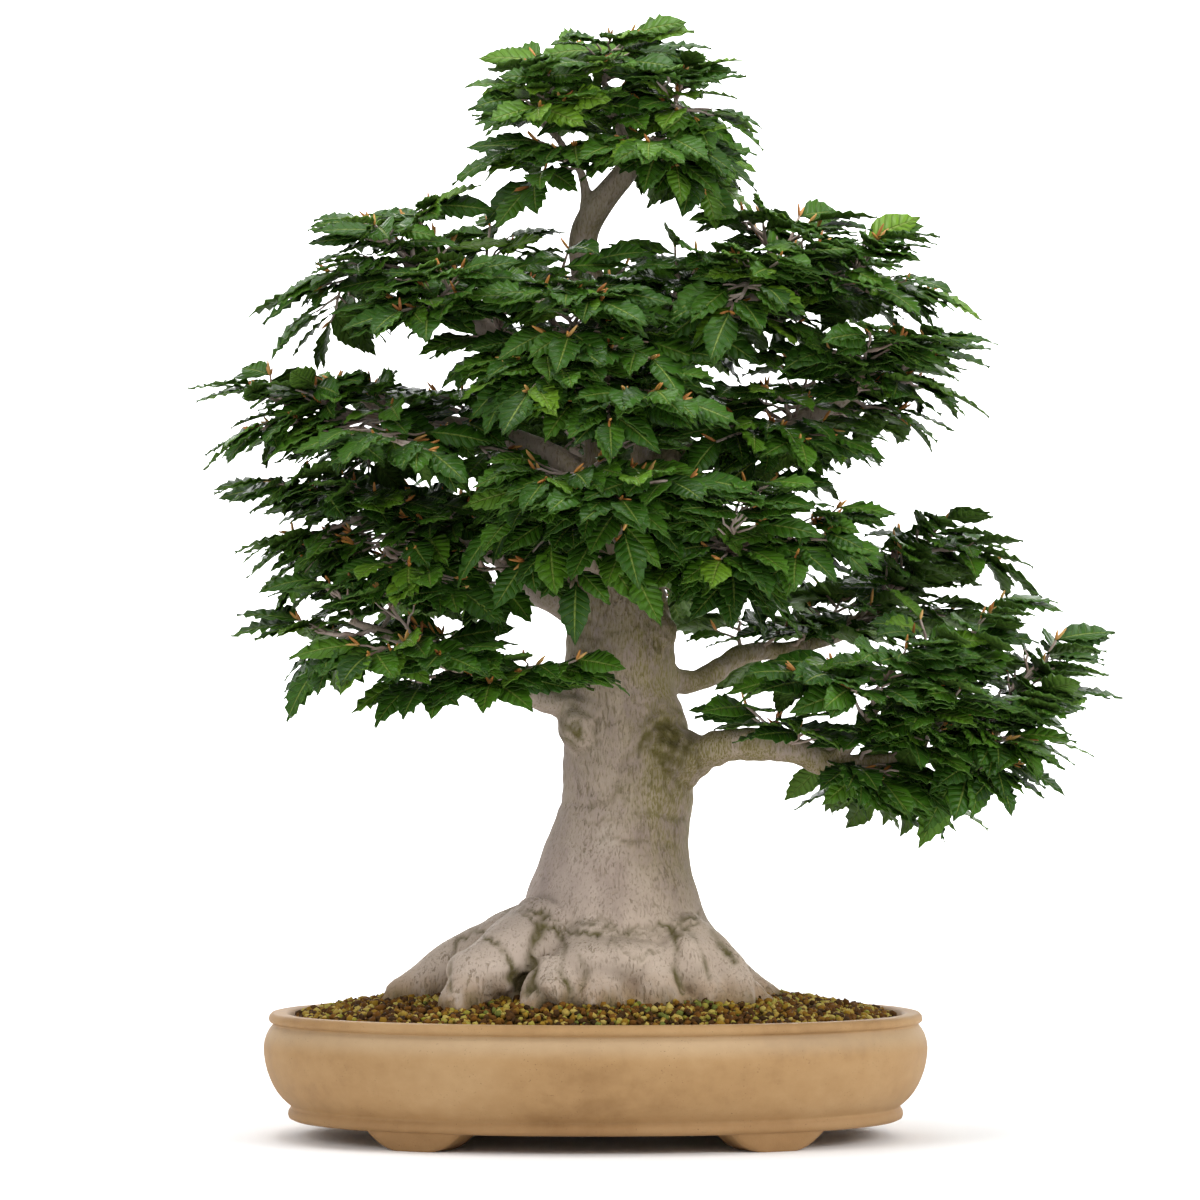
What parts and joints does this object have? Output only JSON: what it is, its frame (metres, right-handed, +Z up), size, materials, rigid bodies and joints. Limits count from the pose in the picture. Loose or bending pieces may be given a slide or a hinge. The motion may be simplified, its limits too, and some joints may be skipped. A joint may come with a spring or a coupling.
{
  "type": "japanese beech bonsai",
  "caption": "Bonsai tree with a thick flared trunk, spreading limbs and oval toothed leaves, standing in soil in a low oval unglazed stoneware pot on bracket feet.",
  "frame": {"origin": "centre of the bounding box's bottom, on the floor under the pot", "axes": "+Z up the tree, +Y from the front to the back, +X to the right as seen from the front"},
  "size_m": [0.7042, 0.4878, 0.8377],
  "materials": {
    "pot": "unglazed ochre stoneware, matte, speckled",
    "soil": "loose brown and cream granules with some moss",
    "bark": "smooth grey-beige bark with fine fissures",
    "leaf": "glossy dark green leaves on thin twigs",
    "drain_mesh": "matte dark green plastic"
  },
  "bodies": {
    "root": {"pot": "pot", "soil": "soil", "trunk": "bark", "drain_mesh_left": "drain_mesh", "drain_mesh_right": "drain_mesh", "spray_right_low_1": "leaf", "spray_right_low_2": "leaf", "spray_right_low_3": "leaf", "spray_right_low_4": "leaf", "spray_right_low_5": "leaf", "spray_right_low_6": "leaf", "spray_right_low_fork_1": "leaf", "spray_right_back_1": "leaf", "spray_right_back_2": "leaf", "spray_right_back_3": "leaf", "spray_right_back_4": "leaf", "spray_right_mid_1": "leaf", "spray_right_mid_2": "leaf", "spray_right_upper_1": "leaf", "spray_right_upper_2": "leaf", "spray_right_upper_3": "leaf", "spray_right_upper_4": "leaf", "spray_right_top_1": "leaf", "spray_right_top_2": "leaf", "spray_right_top_3": "leaf", "spray_right_top_4": "leaf", "spray_left_low_1": "leaf", "spray_left_low_2": "leaf", "spray_left_low_3": "leaf", "spray_left_mid_1": "leaf", "spray_left_mid_2": "leaf", "spray_left_mid_3": "leaf", "spray_left_mid_4": "leaf", "spray_left_back_1": "leaf", "spray_front_1": "leaf", "spray_front_2": "leaf", "spray_left_upper_1": "leaf", "spray_left_upper_2": "leaf", "spray_left_upper_3": "leaf", "spray_left_upper_4": "leaf", "spray_left_top_1": "leaf", "spray_left_top_2": "leaf", "spray_left_top_3": "leaf", "spray_left_top_4": "leaf", "spray_front_upper_1": "leaf", "spray_front_upper_2": "leaf", "spray_front_upper_3": "leaf", "spray_back_low_1": "leaf", "spray_back_low_2": "leaf", "spray_back_mid_1": "leaf", "spray_back_mid_2": "leaf", "spray_back_top_1": "leaf", "spray_back_top_2": "leaf", "spray_crown_left_1": "leaf", "spray_crown_centre_1": "leaf", "spray_crown_centre_2": "leaf", "spray_crown_right_1": "leaf", "spray_crown_right_2": "leaf", "spray_crown_right_3": "leaf"}
  },
  "joints": []
}
